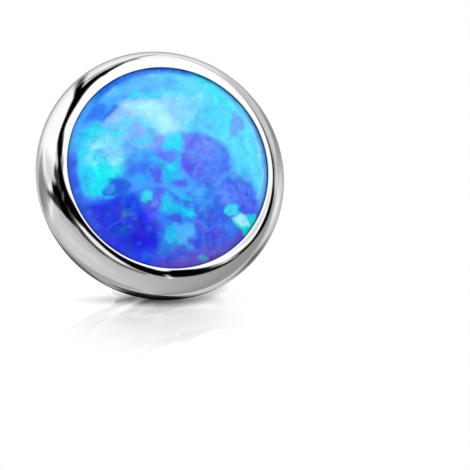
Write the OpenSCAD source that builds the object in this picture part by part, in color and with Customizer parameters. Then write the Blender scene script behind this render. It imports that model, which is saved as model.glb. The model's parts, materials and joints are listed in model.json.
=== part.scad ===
// Dermal anchor top: a domed opal cabochon in a polished steel head with a threaded post.
// Unworn, it rests on a flat surface on the rim of its head and the tip of its post.
// Lengths are in millimetres, and +Z is up from the surface it rests on.

/* [Head] */
// Outside diameter of the head
head_d = 5.0; // [4.8:0.1:5.4]
// Diameter of the flat back
back_d = 4.0; // [3.8:0.1:4.2]
// Height of the widest line of the head above its flat back
belly_h = 0.80; // [0.75:0.05:0.9]
// Radius of the rounding from the widest line up over the bezel
bezel_round = 0.66; // [0.62:0.02:0.70]
// Thickness of the metal under the stone
floor_t = 0.55; // [0.4:0.05:0.6]

/* [Stone] */
// Diameter of the stone that shows inside the bezel
opening_d = 4.06; // [3.9:0.02:4.1]
// Rise of the dome above the edge of the bezel
dome_rise = 0.70; // [0.5:0.05:0.9]
// Depth of the stone's edge below the edge of the bezel
lip_t = 0.06; // [0.05:0.01:0.08]
// Distance that the stone reaches in under the bezel
tuck = 0.07; // [0.05:0.01:0.1]
// Clearance all round the stone
stone_gap = 0.02; // [0.01:0.01:0.03]

/* [Post] */
// Outside diameter of the thread
thread_d = 1.2; // [1.0:0.1:1.4]
// Rise of the thread in one turn
pitch = 0.25; // [0.2:0.05:0.3]
// Length of the post below the flat back
post_len = 2.0; // [1.8:0.1:2.4]
// Length of the plain neck between the flat back and the thread
neck_len = 0.30; // [0.2:0.02:0.36]
// Radius of the rounded corner of the tip
tip_round = 0.28; // [0.2:0.02:0.3]
// Radius of the shallow dome of the tip
crown_round = 0.9; // [0.8:0.1:1.4]

/* [Hidden] */
$fn = 96;

// Head: radii, and the arc from the flat back to the widest line
head_r = head_d / 2;
back_r = back_d / 2;
opening_r = opening_d / 2;
back_inset = head_r - back_r;
side_round = (back_inset * back_inset + belly_h * belly_h) / (2 * back_inset);
side_r = head_r - side_round;
bezel_r = head_r - bezel_round;

// Bezel: the height of its edge, where its rounding meets the opening
edge_h = belly_h + sqrt(pow(bezel_round, 2) - pow(opening_r - bezel_r, 2));

// Stone: a ball's cap through the bezel's edge, on a short straight side
stone_rise = dome_rise + lip_t;
dome_round = (opening_r * opening_r + stone_rise * stone_rise) / (2 * stone_rise);
dome_h = edge_h + dome_rise - dome_round;
stone_r = opening_r + tuck;
stone_low = floor_t + stone_gap;

// Post: the thread's core, and the plain neck and end ring a little inside the thread's crest
thread_r = thread_d / 2;
thread_depth = 0.62 * pitch;
core_r = thread_r - thread_depth;
plain_inset = 0.05;
plain_r = thread_r - plain_inset;
ring_h = 0.06;
// Tip: the centre of the corner's rounding, and where the shallow dome runs into it
corner_r = plain_r - tip_round;
crown_up = sqrt(pow(crown_round - tip_round, 2) - corner_r * corner_r);
crown_h = crown_round - post_len;
corner_h = crown_h - crown_up;
touch_r = corner_r * crown_round / (crown_round - tip_round);
thread_low = corner_h + ring_h;
// The fillet at the neck's root keeps the flat back's inner edge outside the thread
root_margin = 0.02;
root_r = thread_r + root_margin;
root_round = root_r - plain_r;

// Thread: one ridge, wide at its buried foot and narrow at its crest
ridge_foot_w = 0.87 * pitch;
ridge_crest_w = 0.16 * pitch;
ridge_sink = 0.02;
ridge_foot_r = core_r - ridge_sink;
ridge_start_r = ridge_foot_r + 0.25 * ridge_sink;
ridge_clear = 0.01;
ridge_low = thread_low + ridge_foot_w / 2 + ridge_clear;
ridge_high = -neck_len - ridge_foot_w / 2 - ridge_clear;
ridge_turn_steps = 20;
ridge_fade_steps = 6;
ridge_steps = round((ridge_high - ridge_low) / pitch * ridge_turn_steps);

// Rest: the line that touches the head's lower side and the tip meets the axis at this angle
reach = norm([side_r - corner_r, belly_h - corner_h]);
rest_tilt = atan2(side_r - corner_r, belly_h - corner_h) + asin((side_round - tip_round) / reach);
// Height of the middle of the flat back above the surface
lift = side_r * cos(rest_tilt) - belly_h * sin(rest_tilt) + side_round;
// The object's front and back, from the middle of the flat back
front = bezel_r * sin(rest_tilt) + belly_h * cos(rest_tilt) + bezel_round;
rear = corner_r * sin(rest_tilt) - corner_h * cos(rest_tilt) + tip_round;

// The part of a plane above a height, out to well past the head
module above(h) {
    translate([0, h]) square(2 * head_r);
}

// Half section of the stone, grown by a clearance
module stone_section(grow) {
    intersection() {
        translate([0, dome_h]) circle(r = dome_round + grow);
        translate([0, stone_low - grow]) square([stone_r + grow, 2 * head_r]);
    }
}

// Half section of the head, with the stone's seat and the bezel's opening cut out
module head_section() {
    difference() {
        union() {
            square([back_r, belly_h]);
            intersection() {
                translate([side_r, belly_h]) circle(r = side_round);
                square([head_r, belly_h]);
            }
            translate([0, belly_h]) square([bezel_r, bezel_round]);
            intersection() {
                translate([bezel_r, belly_h]) circle(r = bezel_round);
                above(belly_h);
            }
        }
        stone_section(stone_gap);
        translate([0, belly_h]) square([opening_r, head_r]);
    }
}

// Half section of the post: filleted neck, core of the thread, and rounded tip
module post_section() {
    difference() {
        translate([0, -root_round]) square([root_r, root_round + floor_t / 2]);
        translate([root_r, -root_round]) circle(r = root_round);
    }
    translate([0, -neck_len]) square([plain_r, neck_len + floor_t / 2]);
    translate([0, thread_low]) square([core_r, -thread_low]);
    translate([0, corner_h]) square([plain_r, ring_h]);
    intersection() {
        translate([corner_r, corner_h]) circle(r = tip_round);
        translate([0, corner_h - tip_round]) square([plain_r, tip_round]);
    }
    intersection() {
        translate([0, crown_h]) circle(r = crown_round);
        translate([0, -post_len]) square([touch_r, post_len + corner_h]);
    }
}

// Share of its full height that the ridge has at a step: it fades in and out at its ends
function ridge_share(i) = min(1, i / ridge_fade_steps, (ridge_steps - i) / ridge_fade_steps);

// The ridge's four corners at a step along the helix
function ridge_corners(i) =
    let (
        turn = 360 * i / ridge_turn_steps,
        h = ridge_low + pitch * i / ridge_turn_steps,
        crest_r = ridge_start_r + (thread_r - ridge_start_r) * ridge_share(i)
    )
    [
        for (c = [
            [ridge_foot_r, -ridge_foot_w / 2],
            [crest_r, -ridge_crest_w / 2],
            [crest_r, ridge_crest_w / 2],
            [ridge_foot_r, ridge_foot_w / 2]
        ])
        [c[0] * cos(turn), c[0] * sin(turn), h + c[1]]
    ];

// The ridge of a right-hand thread, closed at both ends
module thread_ridge() {
    points = [for (i = [0 : ridge_steps]) each ridge_corners(i)];
    sides = [
        for (i = [0 : ridge_steps - 1], k = [0 : 3])
        let (a = 4 * i + k, b = 4 * i + (k + 1) % 4)
        each [[a, b, b + 4], [a, b + 4, a + 4]]
    ];
    last = 4 * ridge_steps;
    polyhedron(points, concat([[3, 2, 1, 0], [last, last + 1, last + 2, last + 3]], sides));
}

// Turns a piece from its own axis to the way the object rests
module at_rest() {
    translate([0, (front - rear) / 2, lift])
        rotate([90 - rest_tilt, 0, 0])
            children();
}

module setting() {
    color("silver") at_rest() {
        rotate_extrude() {
            head_section();
            post_section();
        }
        thread_ridge();
    }
}

module opal_stone() {
    color("royalblue") at_rest() rotate_extrude() stone_section(0);
}

setting();
opal_stone();
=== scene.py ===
import json
import math

import bpy
import numpy as np
from mathutils import Matrix, Vector


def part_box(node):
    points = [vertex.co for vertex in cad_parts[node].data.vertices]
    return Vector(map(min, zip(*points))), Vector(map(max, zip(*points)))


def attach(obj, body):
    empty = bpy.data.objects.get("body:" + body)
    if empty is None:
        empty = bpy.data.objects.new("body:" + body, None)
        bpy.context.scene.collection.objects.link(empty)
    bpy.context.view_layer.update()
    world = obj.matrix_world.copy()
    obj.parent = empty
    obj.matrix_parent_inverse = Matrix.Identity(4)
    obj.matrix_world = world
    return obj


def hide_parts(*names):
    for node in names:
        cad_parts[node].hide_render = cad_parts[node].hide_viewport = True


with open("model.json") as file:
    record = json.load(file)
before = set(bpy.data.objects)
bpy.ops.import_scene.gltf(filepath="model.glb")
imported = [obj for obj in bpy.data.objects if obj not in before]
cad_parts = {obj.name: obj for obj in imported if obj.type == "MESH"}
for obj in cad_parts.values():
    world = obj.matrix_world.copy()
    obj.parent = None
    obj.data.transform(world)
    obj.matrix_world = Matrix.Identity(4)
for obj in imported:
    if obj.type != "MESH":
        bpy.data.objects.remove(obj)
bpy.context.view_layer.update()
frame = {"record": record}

# Sizes in millimetres, measured from the middle of the flat back along the post's axis
MM = 0.001
HEAD_RADIUS = (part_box("setting")[1].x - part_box("setting")[0].x) / 2 / MM
BACK_RADIUS = 2.0
BELLY_HEIGHT = 0.80
BEZEL_ROUND = 0.66
FLOOR_THICKNESS = 0.55
OPENING_RADIUS = 2.03
DOME_RISE = 0.70
LIP_THICKNESS = 0.06
LIP_EDGE_ROUND = 0.016
TUCK = 0.07
STONE_GAP = 0.02
THREAD_RADIUS = 0.6
THREAD_PITCH = 0.25
POST_LENGTH = 2.0
NECK_LENGTH = 0.30
THREAD_DEPTH = 0.62 * THREAD_PITCH
PLAIN_INSET = 0.05
RING_HEIGHT = 0.06
ROOT_MARGIN = 0.02
TIP_ROUND = 0.28
CROWN_ROUND = 0.9
# Lengths of the finer surfaces: the short step that draws a sharp edge, and the space left beside a
# rounding
CRISP = 0.004
EDGE_MARGIN = 0.01

# What follows from them, worked out as the part's source does
BACK_INSET = HEAD_RADIUS - BACK_RADIUS
SIDE_ROUND = (BACK_INSET**2 + BELLY_HEIGHT**2) / (2 * BACK_INSET)
SIDE_CENTRE = HEAD_RADIUS - SIDE_ROUND
BEZEL_CENTRE = HEAD_RADIUS - BEZEL_ROUND
EDGE_HEIGHT = BELLY_HEIGHT + math.sqrt(BEZEL_ROUND**2 - (OPENING_RADIUS - BEZEL_CENTRE) ** 2)
STONE_RISE = DOME_RISE + LIP_THICKNESS
DOME_ROUND = (OPENING_RADIUS**2 + STONE_RISE**2) / (2 * STONE_RISE)
DOME_CENTRE = EDGE_HEIGHT + DOME_RISE - DOME_ROUND
STONE_RADIUS = OPENING_RADIUS + TUCK
STONE_BOTTOM = FLOOR_THICKNESS + STONE_GAP
CORE_RADIUS = THREAD_RADIUS - THREAD_DEPTH
PLAIN_RADIUS = THREAD_RADIUS - PLAIN_INSET
CORNER_CENTRE = PLAIN_RADIUS - TIP_ROUND
CROWN_CENTRE = CROWN_ROUND - POST_LENGTH
CORNER_HEIGHT = CROWN_CENTRE - math.sqrt((CROWN_ROUND - TIP_ROUND) ** 2 - CORNER_CENTRE**2)
RING_TOP = CORNER_HEIGHT + RING_HEIGHT
ROOT_ROUND = THREAD_RADIUS + ROOT_MARGIN - PLAIN_RADIUS

# The post's axis and the middle of the flat back, from the record's mounts
MOUNTS = {mount["name"]: mount for mount in frame["record"]["mounts"]}
OUT_OF_FACE = -Vector(MOUNTS["threaded_post"]["axis"]).normalized()
POST_POINT = Vector(MOUNTS["threaded_post"]["pos_m"])
BACK_POINT = Vector(MOUNTS["back_face"]["pos_m"])
BACK_CENTRE = POST_POINT + OUT_OF_FACE * (BACK_POINT - POST_POINT).dot(OUT_OF_FACE)
ACROSS = Vector((1, 0, 0))
UP_FACE = OUT_OF_FACE.cross(ACROSS)
LEAN = math.atan2(UP_FACE.z, UP_FACE.y)


def to_frame(points):
    """Moves points in millimetres from the object's own axes, across, up the face and out of it, to the
    frame."""
    axes = np.array([ACROSS, UP_FACE, OUT_OF_FACE])
    return (points @ axes) * MM + np.array(BACK_CENTRE)


def arc(radius, height, round_radius, start, end, count):
    """Points on a circle about (radius, height). Its angles are in degrees: 0 away from the axis, 90
    along it."""
    angle = np.radians(np.linspace(start, end, count))
    return np.c_[radius + round_radius * np.cos(angle), height + round_radius * np.sin(angle)]


def straight(start, end, count):
    """Evenly spaced points from one point to the other."""
    return np.linspace(start, end, count)


def ease(t):
    """Smooth step from 0 to 1: three times t squared less twice t cubed, with t held between 0 and 1."""
    t = np.clip(t, 0, 1)
    return t * t * (3 - 2 * t)


def add_mesh(name, points, faces, node):
    """Puts points and faces into a smooth-shaded mesh in the frame, which stands for a CAD node."""
    mesh = bpy.data.meshes.new(name)
    mesh.from_pydata(to_frame(points).tolist(), [], faces)
    mesh.shade_smooth()
    piece = bpy.data.objects.new(name, mesh)
    bpy.context.scene.collection.objects.link(piece)
    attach(piece, "root")
    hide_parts(node)
    return piece


def lathe(radius, height):
    """A closed surface turned about the axis. Both arrays are rows by columns, with the columns evenly
    round the axis. The first and last rows are on the axis, so each of them becomes one point."""
    rows, columns = radius.shape
    angle = np.linspace(0, 2 * np.pi, columns, endpoint=False)
    ring = np.stack([radius * np.cos(angle), radius * np.sin(angle), height], -1)
    points = np.concatenate([ring[0, :1], ring[1:-1].reshape(-1, 3), ring[-1, :1]])
    this = np.arange(columns)
    after = (this + 1) % columns
    start = 1 + np.arange(rows - 3)[:, None] * columns
    below = start + columns
    bands = np.stack([start + this, below + this, below + after, start + after], -1).reshape(-1, 4)
    last = len(points) - 1
    first_fan = np.stack([np.zeros_like(this), 1 + this, 1 + after], -1)
    last_fan = np.stack([np.full_like(this, last), last - columns + after, last - columns + this], -1)
    return points, first_fan.tolist() + bands.tolist() + last_fan.tolist()


# The thread's ridge as the part's source has it, and how much its flanks are rounded
THREAD_COLUMNS = 256
STEPS_PER_PITCH = 24
RIDGE_FOOT_WIDTH = 0.87 * THREAD_PITCH
RIDGE_CREST_WIDTH = 0.16 * THREAD_PITCH
RIDGE_SINK = 0.02
RIDGE_FOOT_RADIUS = CORE_RADIUS - RIDGE_SINK
RIDGE_CLEAR = 0.01
RIDGE_LOW = RING_TOP + RIDGE_FOOT_WIDTH / 2 + RIDGE_CLEAR
RIDGE_HIGH = -NECK_LENGTH - RIDGE_FOOT_WIDTH / 2 - RIDGE_CLEAR
RIDGE_TURNS = (RIDGE_HIGH - RIDGE_LOW) / THREAD_PITCH
RIDGE_FADE_TURNS = 0.3
FLANK_ROUNDING = 0.04


def thread_radius(height):
    """Radius of the thread at each height and column: the core, and a ridge that climbs one pitch a turn
    and fades out at both ends. The radius falls straight from the ridge's crest to its foot, a little
    rounded."""
    turn = np.arange(THREAD_COLUMNS) / THREAD_COLUMNS
    climb = (height - RIDGE_LOW) / THREAD_PITCH - turn
    lap = np.round(climb)
    along = np.clip(lap + turn, 0, RIDGE_TURNS)
    from_crest = np.hypot(climb - lap, along - lap - turn) * THREAD_PITCH
    fade = np.clip(np.minimum(along, RIDGE_TURNS - along) / RIDGE_FADE_TURNS, 0, 1)
    flank = (RIDGE_FOOT_WIDTH / 2 - from_crest) / ((RIDGE_FOOT_WIDTH - RIDGE_CREST_WIDTH) / 2)
    share = np.clip(flank, 0, 1)
    share = share + FLANK_ROUNDING * (np.sin(np.pi * share) ** 2) * (2 * share - 1)
    ridge = RIDGE_FOOT_RADIUS + (THREAD_RADIUS - RIDGE_FOOT_RADIUS) * share * fade
    return np.maximum(CORE_RADIUS, ridge)


def build_setting():
    """The head and post as one turned surface: from the seat's middle out under the lip, over the bezel
    and the side to the flat back, then down the neck, the thread and the end ring to the tip."""
    seat_radius = STONE_RADIUS + STONE_GAP
    lip_centre = OPENING_RADIUS + LIP_EDGE_ROUND
    lip_reach = BEZEL_ROUND - LIP_EDGE_ROUND
    lip_centre_height = BELLY_HEIGHT + math.sqrt(lip_reach**2 - (lip_centre - BEZEL_CENTRE) ** 2)
    lip_start = math.degrees(math.acos((lip_centre - BEZEL_CENTRE) / lip_reach))
    under_round = math.hypot(lip_centre, lip_centre_height - DOME_CENTRE) - LIP_EDGE_ROUND
    under_start = math.degrees(math.acos(seat_radius / under_round))
    under_end = math.degrees(math.atan2(lip_centre_height - DOME_CENTRE, lip_centre))
    under_height = DOME_CENTRE + math.sqrt(under_round**2 - seat_radius**2)
    side_end = -math.degrees(math.asin(BELLY_HEIGHT / SIDE_ROUND))
    corner_end = -math.degrees(math.acos(CORNER_CENTRE / (CROWN_ROUND - TIP_ROUND)))
    above_thread = np.concatenate([
        straight((0, FLOOR_THICKNESS), (seat_radius, FLOOR_THICKNESS), 3),
        straight((seat_radius, FLOOR_THICKNESS + CRISP), (seat_radius, under_height), 6),
        arc(0, DOME_CENTRE, under_round, under_start, under_end, 5)[1:-1],
        arc(lip_centre, lip_centre_height, LIP_EDGE_ROUND, 180 + under_end, lip_start, 12),
        arc(BEZEL_CENTRE, BELLY_HEIGHT, BEZEL_ROUND, lip_start, 0, 32)[1:],
        arc(SIDE_CENTRE, BELLY_HEIGHT, SIDE_ROUND, 0, side_end, 36)[1:],
        straight((BACK_RADIUS - CRISP, 0), (THREAD_RADIUS + ROOT_MARGIN + EDGE_MARGIN, 0), 8),
        arc(PLAIN_RADIUS + ROOT_ROUND, -ROOT_ROUND, ROOT_ROUND, 90, 180, 8),
        straight((PLAIN_RADIUS, -ROOT_ROUND - 2 * EDGE_MARGIN), (PLAIN_RADIUS, -NECK_LENGTH + CRISP), 4),
    ])
    below_thread = np.concatenate([
        straight((PLAIN_RADIUS, RING_TOP - CRISP), (PLAIN_RADIUS, CORNER_HEIGHT + EDGE_MARGIN), 2),
        arc(CORNER_CENTRE, CORNER_HEIGHT, TIP_ROUND, 0, corner_end, 14),
        arc(0, CROWN_CENTRE, CROWN_ROUND, corner_end, -90, 8)[1:],
    ])
    below_thread[-1, 0] = 0
    step = -THREAD_PITCH / STEPS_PER_PITCH
    thread_height = np.arange(-NECK_LENGTH - CRISP, RING_TOP + CRISP, step)[:, None]
    ones = np.ones(THREAD_COLUMNS)
    plain_above, plain_below = above_thread[:, :1] * ones, below_thread[:, :1] * ones
    radius = np.concatenate([plain_above, thread_radius(thread_height), plain_below])
    height = np.concatenate([above_thread[:, 1:], thread_height, below_thread[:, 1:]]) * ones
    points, faces = lathe(radius, height)
    piece = add_mesh("setting_steel", points, faces, "setting")
    corner = points[np.array([face[0] for face in faces])]
    on_post = corner[:, 2] < -CRISP
    on_back = (np.abs(corner[:, 2]) <= CRISP) & (np.hypot(corner[:, 0], corner[:, 1]) < BACK_RADIUS)
    for material in (polished_steel(), satin_back(), threaded_steel()):
        piece.data.materials.append(material)
    finish = np.where(on_post, 2, np.where(on_back, 1, 0))
    piece.data.polygons.foreach_set("material_index", finish.astype(np.int32))
    return piece


STONE_STEPS = 240
# Heights of the rings round the stone's side, and how far in the bottom one is drawn
SIDE_HEIGHTS = (1.2, 0.9, STONE_BOTTOM + CRISP, STONE_BOTTOM)
BOTTOM_SHARE = 0.995


def build_stone():
    """The stone as one closed surface. A square grid from -1 to 1 is pressed into a disc: each of a
    point's two numbers is multiplied by the root of one less half the square of the other. The disc is
    lifted onto the dome's ball, and rings below its edge close the side and the flat bottom."""
    side = np.linspace(-1, 1, STONE_STEPS + 1)
    u, v = np.meshgrid(side, side)
    x = STONE_RADIUS * u * np.sqrt(1 - v * v / 2)
    y = STONE_RADIUS * v * np.sqrt(1 - u * u / 2)
    dome = np.stack([x, y, DOME_CENTRE + np.sqrt(DOME_ROUND**2 - x * x - y * y)], -1).reshape(-1, 3)
    index = np.arange(len(dome)).reshape(u.shape)
    grid = np.stack([index[:-1, :-1], index[:-1, 1:], index[1:, 1:], index[1:, :-1]], -1).reshape(-1, 4)
    edge = np.concatenate([index[0, :-1], index[:-1, -1], index[-1, :0:-1], index[:0:-1, 0]])
    around = len(edge)
    rim = dome[edge]
    rings = [rim * (1, 1, 0) + (0, 0, height) for height in SIDE_HEIGHTS]
    rings[-1] = rings[-1] * (BOTTOM_SHARE, BOTTOM_SHARE, 1)
    points = np.concatenate([dome, *rings, [(0, 0, STONE_BOTTOM)]])
    loops = [edge] + [len(dome) + k * around + np.arange(around) for k in range(len(rings))]
    bands = [np.stack([a, b, np.roll(b, -1), np.roll(a, -1)], -1) for a, b in zip(loops, loops[1:])]
    low = loops[-1]
    fan = np.stack([np.full(around, len(points) - 1), np.roll(low, -1), low], -1)
    faces = grid.tolist() + np.concatenate(bands).tolist() + fan.tolist()
    piece = add_mesh("opal_cabochon", points, faces, "opal_stone")
    tint = np.ones((len(points), 4), np.float32)
    tint[:, :3] = opal_tint(100 * points[:, 0] / OPENING_RADIUS, 100 * points[:, 1] / OPENING_RADIUS)
    piece.data.attributes.new("opal_tint", "FLOAT_COLOR", "POINT").data.foreach_set("color", tint.ravel())
    piece.data.materials.append(blue_opal())
    return piece


# The opal is drawn on its face. Every length on it is in hundredths of its radius, across and up
# from its middle. The colours are screen values from 0 to 255.
OPAL_COLOURS = {
    "royal": (18, 88, 232),
    "blue": (48, 112, 240),
    "cobalt": (22, 62, 218),
    "azure": (72, 162, 253),
    "cornflower": (56, 128, 248),
    "cyan": (16, 186, 238),
    "sky": (82, 213, 255),
    "bright sky": (92, 224, 255),
    "aqua": (40, 212, 245),
    "bright aqua": (14, 232, 242),
    "turquoise": (46, 224, 240),
    "mint": (12, 206, 214),
    "sea green": (0, 208, 190),
    "teal": (40, 128, 205),
    "deep teal": (24, 84, 188),
    "pale veil": (166, 236, 252),
    "milk": (182, 250, 253),
    "pale sky": (128, 218, 253),
    "lavender": (150, 190, 252),
    "pale lilac": (152, 212, 253),
    "clear sky": (86, 190, 254),
    "periwinkle": (104, 156, 250),
    "mauve": (124, 148, 250),
    "lilac": (114, 122, 250),
    "violet": (88, 98, 238),
    "deep violet": (80, 62, 232),
    "ultramarine": (50, 66, 228),
    "indigo": (30, 34, 226),
    "ink": (28, 18, 196),
    "dusk": (56, 52, 204),
    "purple": (96, 66, 190),
    "steel blue": (86, 146, 214),
}

# Patches, from the lowest layer up: colour, strength, softness of the outline, and the outline's corners
OPAL_PATCHES = [
    # Broad fields
    ("sky", 1, 5, [
        (10, 27), (12, 50), (4, 68), (-6, 84), (0, 95), (30, 97), (60, 85), (80, 70), (100, 30),
        (100, -40), (84, -50), (75, -36), (60, -25), (50, -20), (57, -7), (53, 8), (40, 17), (20, 25),
    ]),
    ("aqua", 0.9, 5, [
        (-90, 30), (-76, 50), (-55, 52), (-45, 30), (-47, 8), (-52, -3), (-65, -6), (-72, -16),
        (-84, -18), (-90, -5),
    ]),
    ("indigo", 1, 6, [
        (-100, -20), (-80, -22), (-70, -22), (-60, -20), (-45, -21), (-40, -34), (-30, -50), (-27, -66),
        (-24, -78), (-34, -100), (-90, -80),
    ]),
    ("ultramarine", 1, 5, [
        (8, -50), (30, -46), (36, -31), (53, -23), (72, -33), (84, -52), (80, -70), (40, -100),
        (-34, -100), (-26, -80), (-5, -80), (8, -70),
    ]),
    ("blue", 0.8, 5, [
        (-45, -20), (-20, -20), (10, -26), (30, -28), (36, -34), (28, -48), (10, -52), (6, -76),
        (-25, -78), (-26, -60),
    ]),
    # Upper left: blue patch, mottled band and the streak of aqua
    ("blue", 0.85, 3, [(-74, 57), (-67, 68), (-58, 72), (-48, 70), (-52, 60), (-57, 51), (-66, 56)]),
    ("cobalt", 0.6, 1.2, [(-58, 50), (-50, 56), (-40, 67), (-44, 67), (-54, 58)]),
    ("azure", 0.6, 5, [(-40, 88), (-10, 94), (25, 90), (28, 78), (5, 76), (-25, 78)]),
    ("lavender", 0.85, 2, [(-58, 50), (-42, 63), (-28, 68), (-24, 50), (-32, 46), (-47, 47)]),
    ("periwinkle", 0.85, 5, [(-52, 47), (-25, 50), (-18, 30), (-10, 10), (-40, 10), (-50, 28)]),
    ("clear sky", 0.8, 6, [(-50, 72), (-40, 86), (-10, 93), (10, 90), (8, 76), (-20, 78)]),
    # The pale veil and its fan, partly the opal's own pale colour and partly a painted reflection of a
    # softbox
    ("pale veil", 0.9, 6, [
        (-36, 65), (-20, 67), (-3, 64), (5, 56), (7, 44), (12, 27), (2, 25), (-12, 24), (-20, 40),
        (-28, 52),
    ]),
    ("milk", 0.8, 7, [(-20, 63), (-4, 60), (2, 52), (2, 42), (-8, 44), (-17, 54)]),
    ("pale lilac", 0.8, 4.5, [(5, 66), (6, 46), (10, 29), (21, 46), (29, 62), (14, 66)]),
    ("pale sky", 0.9, 1.5, [(12, 27), (21, 44), (29, 62), (47, 65), (40, 54), (29, 41)]),
    ("aqua", 0.95, 1.4, [
        (-29, 72), (-20, 77), (-12, 74), (-2, 74), (3, 70), (1, 62), (-5, 66), (-16, 68), (-25, 69),
    ]),
    # Right side
    ("bright aqua", 0.7, 4, [(50, 66), (54, 78), (70, 72), (86, 50), (76, 48), (66, 52)]),
    ("mint", 0.6, 2, [(44, 80), (52, 85), (66, 76), (60, 72), (52, 76)]),
    ("bright sky", 0.7, 5, [(60, 10), (84, 16), (84, -6), (80, -20), (64, -14), (60, -2)]),
    ("azure", 0.45, 4, [(20, 28), (30, 40), (46, 34), (50, 22), (34, 22)]),
    ("periwinkle", 0.9, 1.4, [
        (72, 42), (79, 43), (84, 33), (81, 23), (74, 20), (70, 16), (64, 16), (63, 20), (67, 30),
    ]),
    # The violet patch at the middle
    ("violet", 0.95, 2.2, [
        (12, 24), (21, 24), (33, 20), (46, 13), (53, 4), (56, -7), (52, -18), (42, -22), (33, -28),
        (20, -31), (12, -26), (10, -20), (5, -15), (3, -7), (5, 0), (9, 10),
    ]),
    ("blue", 0.75, 7, [(38, 14), (52, 6), (58, -8), (56, -20), (36, -24), (26, -12), (34, 0)]),
    ("deep violet", 0.5, 3, [(11, 23), (22, 20), (16, 6), (8, 4)]),
    ("lilac", 0.8, 2, [(12, 24), (21, 23), (19, 16), (10, 12)]),
    ("deep violet", 1, 1.5, [(3, -8), (9, -5), (15, -10), (14, -17), (11, -20), (6, -15)]),
    ("cornflower", 0.9, 4, [
        (-50, 5), (-36, 14), (-22, 8), (-27, 0), (-26, -10), (-30, -20), (-45, -20), (-53, -10),
    ]),
    ("deep violet", 0.55, 5, [(-40, -32), (-24, -30), (-25, -46), (-28, -62), (-38, -62), (-40, -45)]),
    ("cornflower", 0.6, 4, [(-30, 0), (-15, -2), (5, 0), (4, -20), (30, -36), (-10, -40), (-28, -30)]),
    # Left side
    ("bright aqua", 0.85, 2, [
        (-84, -17), (-77, 0), (-78, 12), (-70, 20), (-62, 8), (-52, 3), (-54, -5), (-62, -6),
        (-70, -10), (-75, -18),
    ]),
    ("pale sky", 0.8, 2.5, [(-64, 14), (-58, 18), (-50, 12), (-53, 6), (-60, 8)]),
    ("lavender", 0.5, 2, [(-66, 26), (-60, 27), (-57, 21), (-63, 20)]),
    ("turquoise", 0.8, 2, [(-75, 42), (-72, 50), (-62, 50), (-59, 42), (-66, 38)]),
    ("turquoise", 0.75, 1.5, [(-52, 37), (-47, 39), (-45, 34), (-49, 31), (-53, 34)]),
    ("turquoise", 0.5, 3, [(-44, 46), (-36, 48), (-31, 42), (-36, 37), (-43, 40)]),
    ("mauve", 0.5, 4, [(-32, 40), (-25, 38), (-25, 32), (-33, 28), (-36, 33)]),
    ("mauve", 0.6, 2.5, [(-14, 26), (-7, 26), (-6, 20), (-12, 17), (-16, 20)]),
    # The dark lower left
    ("ink", 0.6, 6, [(-62, -50), (-45, -50), (-35, -64), (-45, -74), (-62, -66)]),
    ("deep teal", 0.6, 3, [(-80, -54), (-73, -53), (-70, -60), (-75, -64)]),
    ("dusk", 0.5, 5, [(-93, -25), (-78, -27), (-72, -42), (-80, -52), (-93, -42)]),
    # Lower middle
    ("ultramarine", 0.85, 1.4, [(-20, -53), (-10, -52), (-5, -55), (-5, -60), (-12, -60), (-18, -57)]),
    ("teal", 0.7, 4, [(-28, -74), (-14, -76), (-10, -82), (-20, -86), (-30, -82)]),
    ("teal", 0.8, 2, [(-5, -82), (3, -82), (5, -85), (-1, -87), (-6, -85)]),
    # Lower right
    ("violet", 0.7, 2.5, [(30, -46), (36, -32), (50, -30), (50, -46), (40, -50)]),
    ("ultramarine", 0.4, 3, [(50, -25), (62, -27), (73, -35), (68, -43), (55, -38)]),
    ("violet", 0.8, 2.5, [(64, -50), (72, -47), (75, -54), (69, -58), (63, -55)]),
    ("azure", 0.8, 2, [(10, -34), (24, -30), (34, -36), (27, -48), (12, -44)]),
    ("dusk", 0.9, 2, [(4, -79), (20, -73), (36, -74), (32, -80), (16, -85)]),
    ("purple", 0.7, 6, [(-15, -90), (20, -88), (40, -84), (30, -100), (-15, -100)]),
    ("ultramarine", 0.75, 5, [
        (10, -60), (34, -50), (42, -62), (52, -72), (40, -86), (10, -88), (4, -78),
    ]),
    ("azure", 0.35, 3, [(36, -66), (48, -64), (55, -74), (46, -80), (38, -74)]),
    ("lavender", 0.8, 2, [(-50, 80), (-42, 84), (-37, 86), (-36, 83), (-44, 80)]),
]

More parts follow.
